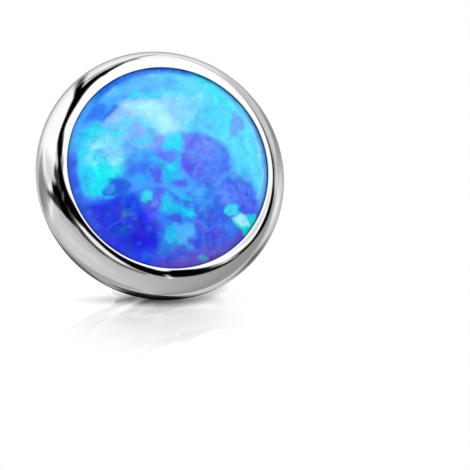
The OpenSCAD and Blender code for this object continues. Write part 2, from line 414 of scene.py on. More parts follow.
# Crisper patches, laid over the marbling: the flower of petals, the eye at the left, the glint at the
# right
OPAL_DETAILS = [
    ("turquoise", 0.7, 2, [(-55, 38), (-50, 41), (-45, 38), (-46, 32), (-52, 31)]),
    ("turquoise", 0.5, 3, [(-43, 47), (-36, 49), (-30, 44), (-35, 38), (-41, 40)]),
    ("bright sky", 0.6, 2.5, [(-27, 46), (-21, 50), (-18, 40), (-20, 30), (-24, 24), (-25, 34)]),
    ("aqua", 0.5, 2.5, [(-33, 26), (-27, 27), (-23, 20), (-28, 15), (-33, 19)]),
    ("mauve", 0.45, 4, [(-38, 42), (-28, 43), (-21, 36), (-24, 28), (-34, 28), (-40, 34)]),
    ("mauve", 0.55, 3, [(-16, 28), (-7, 27), (-5, 18), (-12, 13), (-19, 16)]),
    ("cornflower", 0.5, 2.5, [(-44, 27), (-38, 30), (-35, 22), (-40, 16), (-46, 18)]),
    ("pale sky", 0.6, 2.2, [(-63, 15), (-58, 18), (-52, 14), (-53, 7), (-60, 9)]),
    ("cyan", 0.4, 2, [(-40, 10), (-33, 12), (-30, 6), (-36, 3), (-42, 5)]),
    ("cyan", 0.35, 2, [(-42, -10), (-36, -8), (-34, -14), (-38, -18), (-44, -15)]),
    ("royal", 0.4, 2.2, [(-36, 0), (-28, 2), (-27, -5), (-33, -8), (-38, -4)]),
    ("bright aqua", 0.8, 3, [(-6, 22), (2, 25), (10, 27), (9, 16), (7, 7), (2, 10), (-5, 10), (-10, 13)]),
    ("violet", 0.75, 2.4, [(-22, 8), (-12, 10), (-3, 8), (4, 3), (-2, -2), (-10, 0), (-17, 2)]),
    ("cyan", 0.9, 1.2, [(-28, 4), (-21, 5), (-15, 0), (-12, -5), (-17, -3), (-23, 1)]),
    ("cyan", 0.85, 1.8, [
        (-15, -9), (-12, -3), (-7, -5), (-2, -1), (1, -7), (-1, -15), (-5, -20), (-11, -23), (-18, -22),
        (-18, -12),
    ]),
    ("bright aqua", 0.7, 2, [(-14, -6), (-10, -3), (-6, -6), (-3, -3), (-3, -9), (-10, -12)]),
    ("azure", 0.7, 1.5, [(0, -1), (4, 5), (5, 0), (3, -8), (4, -16), (0, -20), (-2, -15), (1, -8)]),
    ("deep violet", 0.9, 2.2, [(3, -2), (8, 1), (14, -6), (16, -13), (12, -19), (7, -16), (4, -9)]),
    ("deep violet", 0.8, 2, [(-28, -4), (-21, -5), (-18, -12), (-20, -20), (-24, -18), (-27, -12)]),
    ("deep violet", 0.7, 1.6, [(-10, -22), (-2, -19), (5, -21), (3, -26), (-6, -26)]),
    ("azure", 0.7, 1.4, [(-17, -24), (-6, -27), (10, -28), (20, -34), (8, -33), (-8, -31)]),
    ("cyan", 0.6, 1.4, [(-16, -26), (-4, -32), (6, -38), (14, -44), (4, -42), (-8, -35)]),
    ("cyan", 0.9, 2.2, [
        (-19, -26), (-13, -35), (-9, -43), (0, -47), (7, -50), (11, -54), (5, -57), (-2, -54),
        (-10, -51), (-18, -50), (-25, -45), (-22, -35),
    ]),
    ("bright aqua", 0.5, 3, [(-19, -34), (-14, -38), (-13, -44), (-20, -45), (-22, -40)]),
    ("bright aqua", 0.55, 2, [(-1, -49), (5, -50), (9, -53), (4, -56), (-1, -53)]),
    ("ultramarine", 0.6, 1.2, [(-15, -28), (-8, -34), (0, -40), (2, -43), (-5, -40), (-11, -34)]),
    ("deep violet", 0.65, 3, [
        (-26, -25), (-19, -26), (-23, -36), (-27, -42), (-34, -48), (-38, -42), (-33, -37), (-29, -32),
    ]),
    ("mauve", 0.5, 1.2, [(-30, -36), (-27, -35), (-26, -39), (-30, -42), (-33, -40)]),
    ("mauve", 0.4, 1, [(-24, -30), (-22, -30), (-22, -34), (-25, -35)]),
    ("turquoise", 0.95, 1.8, [(-41, -27), (-36, -25), (-31, -28), (-31, -33), (-35, -35), (-40, -33)]),
    # Partly a painted reflection: the milky light over the pale veil
    ("milk", 0.45, 8, [(-26, 62), (-10, 64), (2, 56), (3, 44), (8, 32), (2, 28), (-8, 34), (-16, 46)]),
    ("clear sky", 0.75, 1.8, [
        (-20, -62), (-12, -60), (-6, -63), (0, -61), (6, -62), (8, -68), (5, -74), (-1, -76), (-4, -80),
        (-10, -79), (-12, -75), (-19, -76), (-23, -70),
    ]),
    ("cyan", 0.85, 2.2, [
        (-21, -62), (-13, -61), (-11, -67), (-13, -72), (-10, -77), (-18, -76), (-22, -69),
    ]),
    ("sea green", 0.35, 2, [(-18, -70), (-13, -69), (-12, -74), (-18, -75)]),
    ("cyan", 0.5, 1.2, [(-5, -80), (2, -81), (4, -84), (-2, -85)]),
    ("deep teal", 0.6, 2.8, [
        (-65, -34), (-57, -35), (-55, -41), (-48, -42), (-50, -47), (-58, -46), (-64, -41),
    ]),
    ("teal", 0.35, 2, [(-60, -39), (-53, -42), (-52, -45), (-58, -45)]),
    ("deep teal", 0.75, 2.6, [(-67, -52), (-60, -50), (-57, -56), (-61, -61), (-67, -58)]),
    ("cobalt", 0.9, 1.8, [
        (-65, -5), (-55, -8), (-48, -12), (-47, -20), (-58, -22), (-66, -23), (-73, -20), (-74, -15),
        (-67, -10),
    ]),
    ("azure", 0.6, 1.4, [(-69, -11), (-64, -10), (-61, -14), (-63, -19), (-68, -20), (-71, -17)]),
    ("cyan", 0.8, 1, [(-74, -19), (-70, -20), (-64, -22), (-60, -21), (-65, -24), (-72, -23)]),
    ("ultramarine", 0.6, 3, [(-60, -9), (-54, -8), (-48, -13), (-50, -19), (-58, -18)]),
    ("cornflower", 0.25, 2, [(-55, -8), (-50, -10), (-47, -16), (-51, -15)]),
    ("ultramarine", 0.5, 1.4, [(-63, -6), (-60, -8), (-60, -14), (-62, -19), (-58, -17), (-57, -10)]),
    ("mint", 0.95, 1.2, [
        (64, -60), (75, -59), (77, -64), (70, -67), (67, -75), (60, -77), (50, -69), (48, -63),
        (58, -62),
    ]),
    ("turquoise", 0.95, 1.4, [
        (39, -56), (41, -52), (46, -50), (53, -49), (57, -52), (57, -57), (53, -60), (45, -60.5),
    ]),
    ("clear sky", 0.8, 1.2, [(45, -54), (49, -52), (54, -53), (54, -56), (49, -57.5), (45, -56.5)]),
    ("sea green", 0.85, 1.5, [(57, -72), (65, -69), (73, -64), (74, -69), (66, -77), (60, -80)]),
    ("pale veil", 0.95, 1.4, [
        (49, -63), (54, -60), (58, -58), (62, -60), (64, -65), (67, -71), (60, -71), (53, -68),
    ]),
]

# Thin threads: colour, strength, half width and the points along them
OPAL_VEINS = [
    ("pale sky", 0.8, 0.8, [(11, 27), (29, 41), (42, 56), (47, 66), (56, 73)]),
    ("periwinkle", 0.6, 1.5, [(-13, -23.5), (-30, -22.5), (-50, -20)]),
    ("periwinkle", 0.5, 0.8, [(12, -19), (20, -10), (27, -3), (31, 8)]),
    ("periwinkle", 0.45, 0.8, [(20, -10), (31, -15), (45, -10)]),
    ("azure", 0.7, 1, [(8, 6), (18, 3), (27, -3), (42, 0)]),
    ("azure", 0.6, 0.8, [(12, -19), (10, -26), (25, -30), (36, -30), (50, -22)]),
    ("periwinkle", 0.6, 1, [(-19, -22), (-5, -33), (10, -36), (25, -33)]),
    ("violet", 0.5, 1, [(-19, -25), (-10, -34), (-2, -44)]),
    ("pale sky", 0.4, 1.2, [(-62, 52), (-52, 47), (-42, 40), (-34, 42)]),
    ("lavender", 0.5, 1, [(-55, 30), (-42, 34), (-38, 24), (-30, 22)]),
    ("periwinkle", 0.25, 1.2, [(-75, -50), (-66, -47), (-58, -42), (-50, -44)]),
    ("pale veil", 0.45, 1.2, [(-74, 31), (-67, 25), (-60, 29), (-55, 24)]),
    ("pale veil", 0.5, 1.2, [(-70, 19), (-62, 20), (-56, 13), (-50, 10)]),
    ("pale veil", 0.6, 1, [(-66, 12), (-60, 7), (-55, 6)]),
    ("lavender", 0.6, 1.2, [(-64, 36), (-58, 30), (-54, 20), (-48, 16)]),
    ("lavender", 0.6, 1, [(-47, 30), (-40, 27), (-35, 20), (-24, 16)]),
    ("sea green", 0.8, 2.8, [(12, -93), (16, -95)]),
    ("lilac", 0.6, 1.2, [(-33, -30), (-27, -34), (-25, -42)]),
    # A painted reflection: the light arc just inside the stone's right edge
    ("pale veil", 0.8, 1, [(81, -45), (87, -33), (92, -15), (93, 5), (91, 22), (85, 38)]),
    ("azure", 0.5, 1, [(10, -60), (20, -70), (30, -66), (42, -70)]),
]

# Marbled places: colour, strength, size of the spots, the middle of the place and its radius
OPAL_MARBLING = [
    ("blue", 0.45, 10, (-38, 32), 34),
    ("lavender", 0.75, 8.5, (-38, 32), 32),
    ("aqua", 0.55, 8, (-36, 30), 34),
    ("violet", 0.5, 7, (-22, 22), 26),
    ("turquoise", 0.6, 5, (-34, 36), 24),
    ("azure", 0.5, 9, (-60, 5), 32),
    ("bright aqua", 0.5, 8, (-72, 5), 30),
    ("periwinkle", 0.5, 7, (-60, 26), 22),
    ("pale veil", 0.55, 6, (-64, 20), 24),
    ("royal", 0.28, 8, (-36, -4), 26),
    ("violet", 0.55, 8, (-10, 2), 24),
    ("aqua", 0.5, 6, (-10, -8), 22),
    ("blue", 0.45, 10, (32, -4), 30),
    ("lilac", 0.35, 8, (26, 2), 26),
    ("azure", 0.5, 8, (15, -40), 34),
    ("royal", 0.5, 9, (15, -45), 36),
    ("lilac", 0.45, 9, (56, -36), 28),
    ("blue", 0.45, 8, (60, -36), 28),
    ("azure", 0.3, 6, (55, -42), 24),
    ("ultramarine", 0.5, 9, (22, -64), 34),
    ("purple", 0.5, 7, (12, -84), 36),
    ("ultramarine", 0.2, 14, (-55, -50), 45),
    ("ink", 0.25, 12, (-50, -55), 40),
    ("deep teal", 0.12, 9, (-62, -45), 26),
    ("azure", 0.3, 10, (10, 82), 50),
    ("bright aqua", 0.35, 10, (62, 50), 40),
    ("azure", 0.2, 8, (42, 45), 30),
]

# Places with wisps: colour, strength, size of their loops, the middle of the place and its radius
OPAL_WISPS = [
    ("pale veil", 0.38, 6.5, (-60, 20), 28),
    ("lavender", 0.55, 6, (-38, 32), 28),
    ("pale sky", 0.45, 6, (-34, 36), 28),
    ("cyan", 0.5, 7, (-36, -2), 30),
    ("periwinkle", 0.35, 9, (32, -2), 32),
    ("aqua", 0.4, 6, (10, -40), 28),
    ("royal", 0.35, 7, (14, -38), 30),
    ("periwinkle", 0.5, 7, (54, -38), 28),
    ("lilac", 0.3, 9, (22, -72), 32),
    ("royal", 0.35, 9, (-60, -45), 26),
    ("pale sky", 0.3, 9, (48, 35), 55),
    ("pale sky", 0.3, 8, (5, 82), 45),
]

# Painted shade and painted reflection at the rim, a darker band toward the edge and lighter arcs inside
# it: colour, strength, the angles in degrees that it runs between, anticlockwise from the right, and the
# radius that it starts at
OPAL_RIM_SHADE_AND_REFLECTION = [
    ("royal", 0.85, 62, 128, 93.5),
    ("azure", 0.5, 125, 165, 93),
    ("ultramarine", 0.8, 162, 222, 91.5),
    ("indigo", 0.6, 215, 262, 93),
    ("purple", 0.75, 250, 312, 92),
    ("bright aqua", 0.6, 38, 62, 90),
    ("teal", 0.7, 36, 62, 96.5),
    ("periwinkle", 0.6, -40, 50, 92.5),
    ("steel blue", 0.6, -42, 40, 96.5),
    ("ultramarine", 0.5, 305, 325, 93),
]

# Softness of the painted rim shade along and across it, and of all outlines
RIM_FADE = 12
RIM_EDGE = 5
PATCH_SOFTNESS = 1.25
# Steepness of a place's fade from its middle to its radius
PLACE_FADE = 1.6
# The pale veil, partly a painted reflection of a softbox, where grain and facets are calmer: its middle,
# its radius, the steepness of its fade, its share
VEIL_AND_SHEEN_MIDDLE = (-8, 48)
VEIL_AND_SHEEN_REACH = 42
VEIL_AND_SHEEN_FADE = 1.5
VEIL_AND_SHEEN_CALM = 0.7
# How much of its strength a thread shows, and how deep the fine grain and the facets go
THREAD_SHARE = 0.55
GRAIN_DEPTH = 0.11
FACET_DEPTH = 0.24
# Strength of the last faint clouds of colour
CLOUD_SHARE = 0.06
# Random values along each side of a noise's lattice, which then repeats
LATTICE = 64


def linear(colour):
    """A named opal colour as linear light: a straight stretch for the darks, and a power of 2.4 above
    it."""
    c = np.array(OPAL_COLOURS[colour]) / 255
    return np.where(c <= 0.04045, c / 12.92, ((c + 0.055) / 1.055) ** 2.4)


def cloud(x, y, cell, seed):
    """Soft noise from -1 to 1: random heights on a square lattice of that cell, eased between its
    corners."""
    heights = np.random.default_rng(seed).uniform(-1, 1, (LATTICE, LATTICE))
    gx, gy = x / cell, y / cell
    ix, iy = np.floor(gx).astype(int), np.floor(gy).astype(int)
    fx, fy = ease(gx - ix), ease(gy - iy)

    def height(dx, dy):
        """Height of the lattice that many corners on."""
        return heights[(ix + dx) % LATTICE, (iy + dy) % LATTICE]

    low = height(0, 0) * (1 - fx) + height(1, 0) * fx
    high = height(0, 1) * (1 - fx) + height(1, 1) * fx
    return low * (1 - fy) + high * fy


def flakes(x, y, cell, seed):
    """Irregular flakes: each point takes the random value, from -0.5 to 0.5, of the nearest of the
    jittered lattice points round it, and less of it close to the next flake."""
    draw = np.random.default_rng(seed).random((3, LATTICE, LATTICE))
    ix, iy = np.floor(x / cell).astype(int), np.floor(y / cell).astype(int)
    nearest = np.full(x.shape, np.inf)
    second = np.full(x.shape, np.inf)
    value = np.zeros(x.shape)
    for dx in (-1, 0, 1):
        for dy in (-1, 0, 1):
            jx, jy = (ix + dx) % LATTICE, (iy + dy) % LATTICE
            px, py = (ix + dx + draw[0, jx, jy]) * cell, (iy + dy + draw[1, jx, jy]) * cell
            distance = np.hypot(x - px, y - py)
            closer = distance < nearest
            second = np.where(closer, nearest, np.minimum(second, distance))
            nearest = np.where(closer, distance, nearest)
            value = np.where(closer, draw[2, jx, jy], value)
    return (value - 0.5) * ease((second - nearest) / (0.6 * cell))


def marbling(x, y, size, seed):
    """Blotches from 0 to 1: a coarse and a fine soft noise with flakes, cut so that somewhat less than
    half of the place is covered."""
    spots = cloud(x, y, 1.6 * size, seed) + 0.6 * cloud(x, y, 0.7 * size, seed + 40)
    return ease(0.38 + spots + 0.9 * flakes(x, y, size, seed))


def wisps(x, y, size, seed):
    """Fine soft veining from 0 to 1: bright where noise crosses its middle height, broken up by a second
    noise, with smaller veins beside it."""
    line = (1 - np.abs(cloud(x, y, size, seed))) ** 4
    small = (1 - np.abs(cloud(x, y, 0.45 * size, seed + 50))) ** 3
    broken = line * ease(0.6 + cloud(x, y, 0.8 * size, seed + 80))
    return np.clip(broken + 0.5 * small * line**0.25, 0, 1)


def to_segment(x, y, a, b):
    """Distance from each point to the straight stretch from a to b."""
    along = np.array(b) - np.array(a)
    t = np.clip(((x - a[0]) * along[0] + (y - a[1]) * along[1]) / (along @ along), 0, 1)
    return np.hypot(x - a[0] - t * along[0], y - a[1] - t * along[1])


def inside(x, y, outline):
    """Depth of each point inside a closed outline: its distance to the outline, negative outside."""
    depth = np.full(x.shape, np.inf)
    odd = np.zeros(x.shape, bool)
    for a, b in zip(outline, outline[1:] + outline[:1]):
        depth = np.minimum(depth, to_segment(x, y, a, b))
        if a[1] != b[1]:
            crosses = (a[1] > y) != (b[1] > y)
            odd ^= crosses & (x < a[0] + (y - a[1]) * (b[0] - a[0]) / (b[1] - a[1]))
    return np.where(odd, depth, -depth)


def warp(x, y, seed):
    """A small shift of the pattern at each point: soft noise of two sizes and a jump from flake to
    flake."""
    soft = 1.2 * cloud(x, y, 9, seed) + 0.6 * cloud(x, y, 3.5, seed + 1)
    return soft + 2.0 * flakes(x, y, 6, seed + 2)


def opal_tint(x, y):
    """The opal's colour over its face, x and y in hundredths of its radius. Laid over one another, with
    soft and warped outlines, are the patches, the painted shade and reflection of the rim, the marbling,
    the wisps, the crisper patches and the threads. Then a fine grain and facets lighten and darken it,
    calmer over the pale veil and its painted reflection, and two faint clouds tint it."""
    wx, wy = x + warp(x, y, 1), y + warp(x, y, 4)
    tint = np.broadcast_to(linear("azure"), x.shape + (3,)).copy()

    def lay(colour, share):
        """Lays a colour over the face by a share at each point."""
        nonlocal tint
        tint += (linear(colour) - tint) * share[..., None]

    def near(middle, reach, fade):
        """Share of a round place: full over its middle, and none from its radius out."""
        return ease(fade * (1 - np.hypot(x - middle[0], y - middle[1]) / reach))

    def lay_patches(patches):
        """Lays patches with soft outlines, one over the other."""
        for colour, strength, softness, outline in patches:
            lay(colour, strength * ease(0.5 + inside(wx, wy, outline) / (2 * softness * PATCH_SOFTNESS)))

    def lay_places(places, pattern, first_seed):
        """Lays a pattern of spots or veins over round places, each with its own seed."""
        for seed, (colour, strength, size, middle, reach) in enumerate(places, first_seed):
            lay(colour, strength * near(middle, reach, PLACE_FADE) * pattern(wx, wy, size, seed))

    lay_patches(OPAL_PATCHES)
    radius, angle = np.hypot(x, y), np.degrees(np.arctan2(y, x))
    # The painted shade and painted reflection round the rim
    for colour, strength, start, end, inner in OPAL_RIM_SHADE_AND_REFLECTION:
        past = (angle - start + 180) % 360 - 180
        past = np.where(past < -RIM_FADE, past + 360, past)
        within = ease(0.5 + past / RIM_FADE) * ease(0.5 + (end - start - past) / RIM_FADE)
        lay(colour, strength * within * ease(0.5 + (radius - inner) / RIM_EDGE))
    lay_places(OPAL_MARBLING, marbling, 20)
    lay_places(OPAL_WISPS, wisps, 200)
    lay_patches(OPAL_DETAILS)
    for colour, strength, half_width, points in OPAL_VEINS:
        away = np.min([to_segment(wx, wy, a, b) for a, b in zip(points, points[1:])], axis=0)
        lay(colour, THREAD_SHARE * strength * ease(1.3 - away / (1.2 * half_width)))
    grain = 0.5 * cloud(wx, wy, 4.5, 7) + 0.5 * cloud(x, y, 1.8, 8)
    facets = flakes(wx, wy, 10, 9) + 0.7 * flakes(wx, wy, 5, 12)
    calm = VEIL_AND_SHEEN_CALM * near(VEIL_AND_SHEEN_MIDDLE, VEIL_AND_SHEEN_REACH, VEIL_AND_SHEEN_FADE)
    tint *= (1 + (1 - calm) * (GRAIN_DEPTH * grain + FACET_DEPTH * facets))[..., None]
    lay("aqua", CLOUD_SHARE * ease(0.5 + cloud(x, y, 12, 10)))
    lay("violet", CLOUD_SHARE * ease(0.2 + cloud(x, y, 10, 11)))
    return tint


def feed(tree, socket, value):
    """Links a socket to an input, or sets the input to a number, vector or colour."""
    if isinstance(value, bpy.types.NodeSocket):
        tree.links.new(value, socket)
    elif value is not None:
        socket.default_value = value


def place(tree, kind, *values, **settings):
    """Adds a shader node. Settings are its own properties, and values go to its inputs in order."""
    made = tree.nodes.new("ShaderNode" + kind)
    for name, value in settings.items():
        setattr(made, name, value)
    for socket, value in zip(made.inputs, values):
        feed(tree, socket, value)
    return made


def empty_tree(holder):
    """Turns on the nodes of a material or world and clears them away: its tree."""
    holder.use_nodes = True
    holder.node_tree.nodes.clear()
    return holder.node_tree


def name_inputs(tree, made, **values):
    """Feeds a node's inputs by name, with _ for a space, and gives its outputs."""
    for name, value in values.items():
        feed(tree, made.inputs[name.replace("_", " ")], value)
    return made.outputs


def maths(tree, operation, *values):
    """The outcome of one arithmetic step."""
    return place(tree, "Math", *values, operation=operation).outputs[0]


def vectors(tree, operation, *values):
    """The outcome of one vector step: a vector, or a number for a length or a dot product."""
    made = place(tree, "VectorMath", *values, operation=operation)
    return made.outputs["Value" if operation in ("LENGTH", "DOT_PRODUCT") else "Vector"]


def scaled(tree, vector, factor):
    """A vector times a number."""
    return vectors(tree, "SCALE", vector, None, None, factor)


def remap(tree, value, low, high, to_low=0.0, to_high=1.0):
    """Stretches a number from one range to another, held at both ends and eased between them."""
    ends = (low, high, to_low, to_high)
    return place(tree, "MapRange", value, *ends, interpolation_type="SMOOTHSTEP").outputs["Result"]


def blend(tree, share, low, high, how="MIX"):
    """Mixes two colours by a share."""
    return place(tree, "MixRGB", share, low, high, blend_type=how).outputs[0]


def split(tree, vector):
    """The three numbers of a vector."""
    return place(tree, "SeparateXYZ", vector).outputs


def join(tree, *numbers):
    """The vector of three numbers."""
    return place(tree, "CombineXYZ", *numbers).outputs[0]


def own_place(tree, middle, turn, size):
    """The place on the object itself: from a middle, along axes turned by some angles, and counted in a
    size along each."""
    own = place(tree, "TexCoord").outputs["Object"]
    return place(tree, "Mapping", own, middle, turn, size, vector_type="TEXTURE").outputs[0]


def noise(tree, place_at, scale, detail=2.0, rough=0.5):
    """Soft noise from 0 to 1."""
    made = place(tree, "TexNoise")
    return name_inputs(tree, made, Vector=place_at, Scale=scale, Detail=detail, Roughness=rough)["Fac"]


def new_group(name, inputs, outputs):
    """An empty node group with named sockets: its tree, what comes in and what goes out."""
    tree = bpy.data.node_groups.new(name, "ShaderNodeTree")
    for label, kind, value in inputs:
        socket = tree.interface.new_socket(label, in_out="INPUT", socket_type=kind)
        if value is not None:
            socket.default_value = value
    for label, kind in outputs:
        tree.interface.new_socket(label, in_out="OUTPUT", socket_type=kind)
    return tree, tree.nodes.new("NodeGroupInput").outputs, tree.nodes.new("NodeGroupOutput").inputs


def use_group(tree, group, **values):
    """Places a node group in a material and feeds its inputs by name."""
    return name_inputs(tree, place(tree, "Group", node_tree=group), **values)


# Kinds of a group's sockets
VECTOR, NUMBER = "NodeSocketVector", "NodeSocketFloat"

# Hairlines of polishing: for each run the turn in radians and the scale per mm, along and across it, then
# their tilt in radians and the noise at which they begin and are full
HAIRLINE_RUNS = [(0.6, (2.0, 60.0, 60.0)), (2.1, (1.6, 75.0, 75.0))]
HAIRLINE_TILT = 0.4
HAIRLINE_CUT = (0.66, 0.8)
# Clouds of haze: their scale per mm, and the noise at which they begin and are full
HAZE_SCALE = 0.9
HAZE_CUT = (0.35, 0.75)
# Rings of turning: how far in mm they wander from round and on what scale per mm, the broad rings per mm,
# and the fine rings' share of the tone
RING_WANDER = 0.02
WANDER_SCALE = 1.2
BROAD_RINGS_PER_MM = 5.0
FINE_RING_SHARE = 0.6


def polish_group():
    """Marks of polishing and handling: hairlines that run two ways, and soft clouds of haze."""
    tree, given, made = new_group(
        "polish_marks",
        [("Place", VECTOR, None), ("Hairlines", NUMBER, 0.5), ("Haze", NUMBER, 0.5)],
        [("Height", NUMBER), ("Dullness", NUMBER)],
    )
    lines = None
    for turn, scale in HAIRLINE_RUNS:
        turned = place(tree, "Mapping", given["Place"], None, (HAIRLINE_TILT, turn, turn), scale).outputs[0]
        line = remap(tree, noise(tree, turned, 1.0, 1.0), *HAIRLINE_CUT)
        lines = line if lines is None else maths(tree, "MAXIMUM", lines, line)
    lines = maths(tree, "MULTIPLY", lines, given["Hairlines"])
    clouds = remap(tree, noise(tree, given["Place"], HAZE_SCALE, 3.0), *HAZE_CUT)
    haze = maths(tree, "MULTIPLY", clouds, given["Haze"])
    feed(tree, made["Height"], maths(tree, "MULTIPLY", lines, -1.0))
    feed(tree, made["Dullness"], maths(tree, "ADD", lines, haze))
    return tree


def from_axis(tree, own):
    """A point's place across the post's axis, its distance from the axis, and its height along it."""
    parts = split(tree, own)
    flat = join(tree, parts["X"], parts["Y"], 0.0)
    return flat, vectors(tree, "LENGTH", flat), parts["Z"]


def turning_group():
    """Rings left by the lathe round the axis: noise along the radius and the height, a little uneven
    round it."""
    tree, given, made = new_group(
        "turning_rings",
        [("Place", VECTOR, None), ("Rings per mm", NUMBER, 30.0)],
        [("Height", NUMBER), ("Tone", NUMBER)],
    )
    flat, radius, height = from_axis(tree, given["Place"])
    wobble = maths(tree, "MULTIPLY", noise(tree, flat, WANDER_SCALE, 1.0), RING_WANDER)
    at = join(tree, maths(tree, "ADD", radius, wobble), 0.0, height)
    rings = noise(tree, scaled(tree, at, given["Rings per mm"]), 1.0, 2.0, 0.6)
    broad = noise(tree, scaled(tree, at, BROAD_RINGS_PER_MM), 1.0, 1.0)
    rest = maths(tree, "MULTIPLY", broad, 1 - FINE_RING_SHARE)
    feed(tree, made["Height"], rings)
    feed(tree, made["Tone"], maths(tree, "MULTIPLY_ADD", rings, FINE_RING_SHARE, rest))
    return tree


POLISH = polish_group()
TURNING = turning_group()


def new_material(name):
    """A material with one Principled shader: its tree, the shader, and the object's own axes in
    millimetres."""
    material = bpy.data.materials.new(name)
    tree = empty_tree(material)
    shader = place(tree, "BsdfPrincipled")
    feed(tree, place(tree, "OutputMaterial").inputs["Surface"], shader.outputs[0])
    return material, tree, shader, own_place(tree, BACK_CENTRE, (LEAN, 0, 0), (MM, MM, MM))


def dress(tree, shader, colour, dullness, full, smooth, rough, height, strength, swing_mm):
    """Gives a shader its colour, its roughness, which goes from smooth to rough as the dullness rises to
    full, and a normal bent by a height, whose full swing is in millimetres."""
    bump = name_inputs(tree, place(tree, "Bump"), Strength=strength, Distance=swing_mm * MM, Height=height)
    feed(tree, shader.inputs["Base Color"], colour)
    feed(tree, shader.inputs["Roughness"], remap(tree, dullness, 0.0, full, smooth, rough))
    feed(tree, shader.inputs["Normal"], bump["Normal"])


STEEL_LIGHT = (0.588, 0.585, 0.582, 1)
STEEL_DEEP = (0.550, 0.548, 0.548, 1)
STEEL_SATIN = (0.66, 0.665, 0.67, 1)
STEEL_GROOVE = (0.42, 0.425, 0.435, 1)
# What steel keeps of its shine toward its outline
STEEL_EDGE = (0.46, 0.46, 0.46, 1)
# Clouds in the polished steel's tone: their scale per mm, and the noise at which they begin and are full
TONE_SCALE = 1.5
TONE_CUT = (0.3, 0.7)
# The thread: how much duller its grooves are, and how strongly the rings show in its tone
GROOVE_DULLNESS = 0.5
THREAD_RING_SHARE = 0.25


def new_steel(name, hairlines, haze):
    """A material of steel, as new_material gives it, and its marks of polishing."""
    material, tree, shader, own = new_material(name)
    shader.inputs["Metallic"].default_value = 1.0
    shader.inputs["Specular Tint"].default_value = STEEL_EDGE
    marks = use_group(tree, POLISH, Place=own, Hairlines=hairlines, Haze=haze)
    return material, tree, shader, own, marks


def polished_steel():
    """Mirror-polished steel with faint hairlines and haze."""
    material, tree, shader, own, marks = new_steel("polished_steel", hairlines=0.5, haze=0.6)
    tone = remap(tree, noise(tree, own, TONE_SCALE, 3.0), *TONE_CUT)
    dress(
        tree, shader, blend(tree, tone, STEEL_DEEP, STEEL_LIGHT),
        dullness=marks["Dullness"], full=1.5, smooth=0.045, rough=0.11,
        height=marks["Height"], strength=0.25, swing_mm=0.0006,
    )
    return material


def satin_back():
    """The flat back, turned on a lathe and satin-finished, with rings round the post."""
    material, tree, shader, own, marks = new_steel("satin_back_steel", hairlines=0.8, haze=1.0)
    rings = use_group(tree, TURNING, Place=own, Rings_per_mm=26.0)
    dress(
        tree, shader, blend(tree, rings["Tone"], STEEL_DEEP, STEEL_SATIN),
        dullness=marks["Dullness"], full=1.8, smooth=0.20, rough=0.34,
        height=rings["Height"], strength=0.5, swing_mm=0.0016,
    )
    return material


def threaded_steel():
    """The cut thread: steel that is darker and duller in its grooves than on its crests, with fine
    rings."""
    material, tree, shader, own, marks = new_steel("threaded_steel", hairlines=0.4, haze=0.8)
    rings = use_group(tree, TURNING, Place=own, Rings_per_mm=34.0)
    depth = remap(tree, from_axis(tree, own)[1], CORE_RADIUS, PLAIN_RADIUS, 1.0, 0.0)
    # Darker toward the root of the grooves
    darker_in_grooves = blend(tree, depth, STEEL_LIGHT, STEEL_GROOVE)
    dullness = maths(tree, "MULTIPLY_ADD", depth, GROOVE_DULLNESS, marks["Dullness"])
    dress(
        tree, shader, blend(tree, THREAD_RING_SHARE, darker_in_grooves, rings["Tone"], "MULTIPLY"),
        dullness=dullness, full=1.6, smooth=0.12, rough=0.30,
        height=rings["Height"], strength=0.3, swing_mm=0.0012,
    )
    return material


# The opal's fine crystals and grain, per mm, and how far in mm the crystals' outlines drift, on what
# scale per mm
CRYSTALS_PER_MM = 9.0
CRYSTAL_SMOOTHNESS = 0.6
DRIFT = 0.12
DRIFT_SCALE = 7.0
GRAIN_SCALE = 26.0
# The tint is multiplied by this much light, and by more of it with the grain and from crystal to crystal
PLAIN_LIGHT = 0.68
GRAIN_LIGHT = 0.16
CRYSTAL_LIGHT = 0.12
# A few crystals catch a cool spark
SPARK_CUT = (0.62, 0.85)
SPARK_SHARE = 0.06
SPARK_COLOUR = (0.02, 0.62, 0.80, 1)


def blue_opal():
    """The polished opal: its charted tint, broken up by fine crystals, grain and sparks under a soft
    gloss."""
    material, tree, shader, own = new_material("blue_opal")
    tint = place(tree, "Attribute", attribute_name="opal_tint").outputs["Color"]
    marks = use_group(tree, POLISH, Place=own, Hairlines=0.2, Haze=0.8)
    drift = scaled(tree, place(tree, "TexNoise", own, None, DRIFT_SCALE).outputs["Color"], DRIFT)
    crystal = place(tree, "TexVoronoi", feature="SMOOTH_F1")
    drifted = vectors(tree, "ADD", own, drift)
    crystal = name_inputs(
        tree, crystal, Vector=drifted, Scale=CRYSTALS_PER_MM, Smoothness=CRYSTAL_SMOOTHNESS
    )
    cell = place(tree, "SeparateColor", crystal["Color"]).outputs
    grain = maths(tree, "MULTIPLY_ADD", noise(tree, own, GRAIN_SCALE, 3.0, 0.6), GRAIN_LIGHT, PLAIN_LIGHT)
    light = maths(tree, "MULTIPLY_ADD", cell["Red"], CRYSTAL_LIGHT, grain)
    spark = remap(tree, cell["Green"], *SPARK_CUT, 0.0, SPARK_SHARE)
    shader.inputs["Specular IOR Level"].default_value = 0.10
    dress(
        tree, shader, blend(tree, spark, blend(tree, 1.0, tint, light, "MULTIPLY"), SPARK_COLOUR),
        dullness=marks["Dullness"], full=1.0, smooth=0.06, rough=0.14,
        height=marks["Height"], strength=0.15, swing_mm=0.0005,
    )
    return material


# The studio as the polished steel mirrors it. Azimuth is 0 in front of the object and 90 on its right,
# elevation is 90 overhead, both in degrees. A tone is what the steel shows there, from 0 for black to 1
# for white.

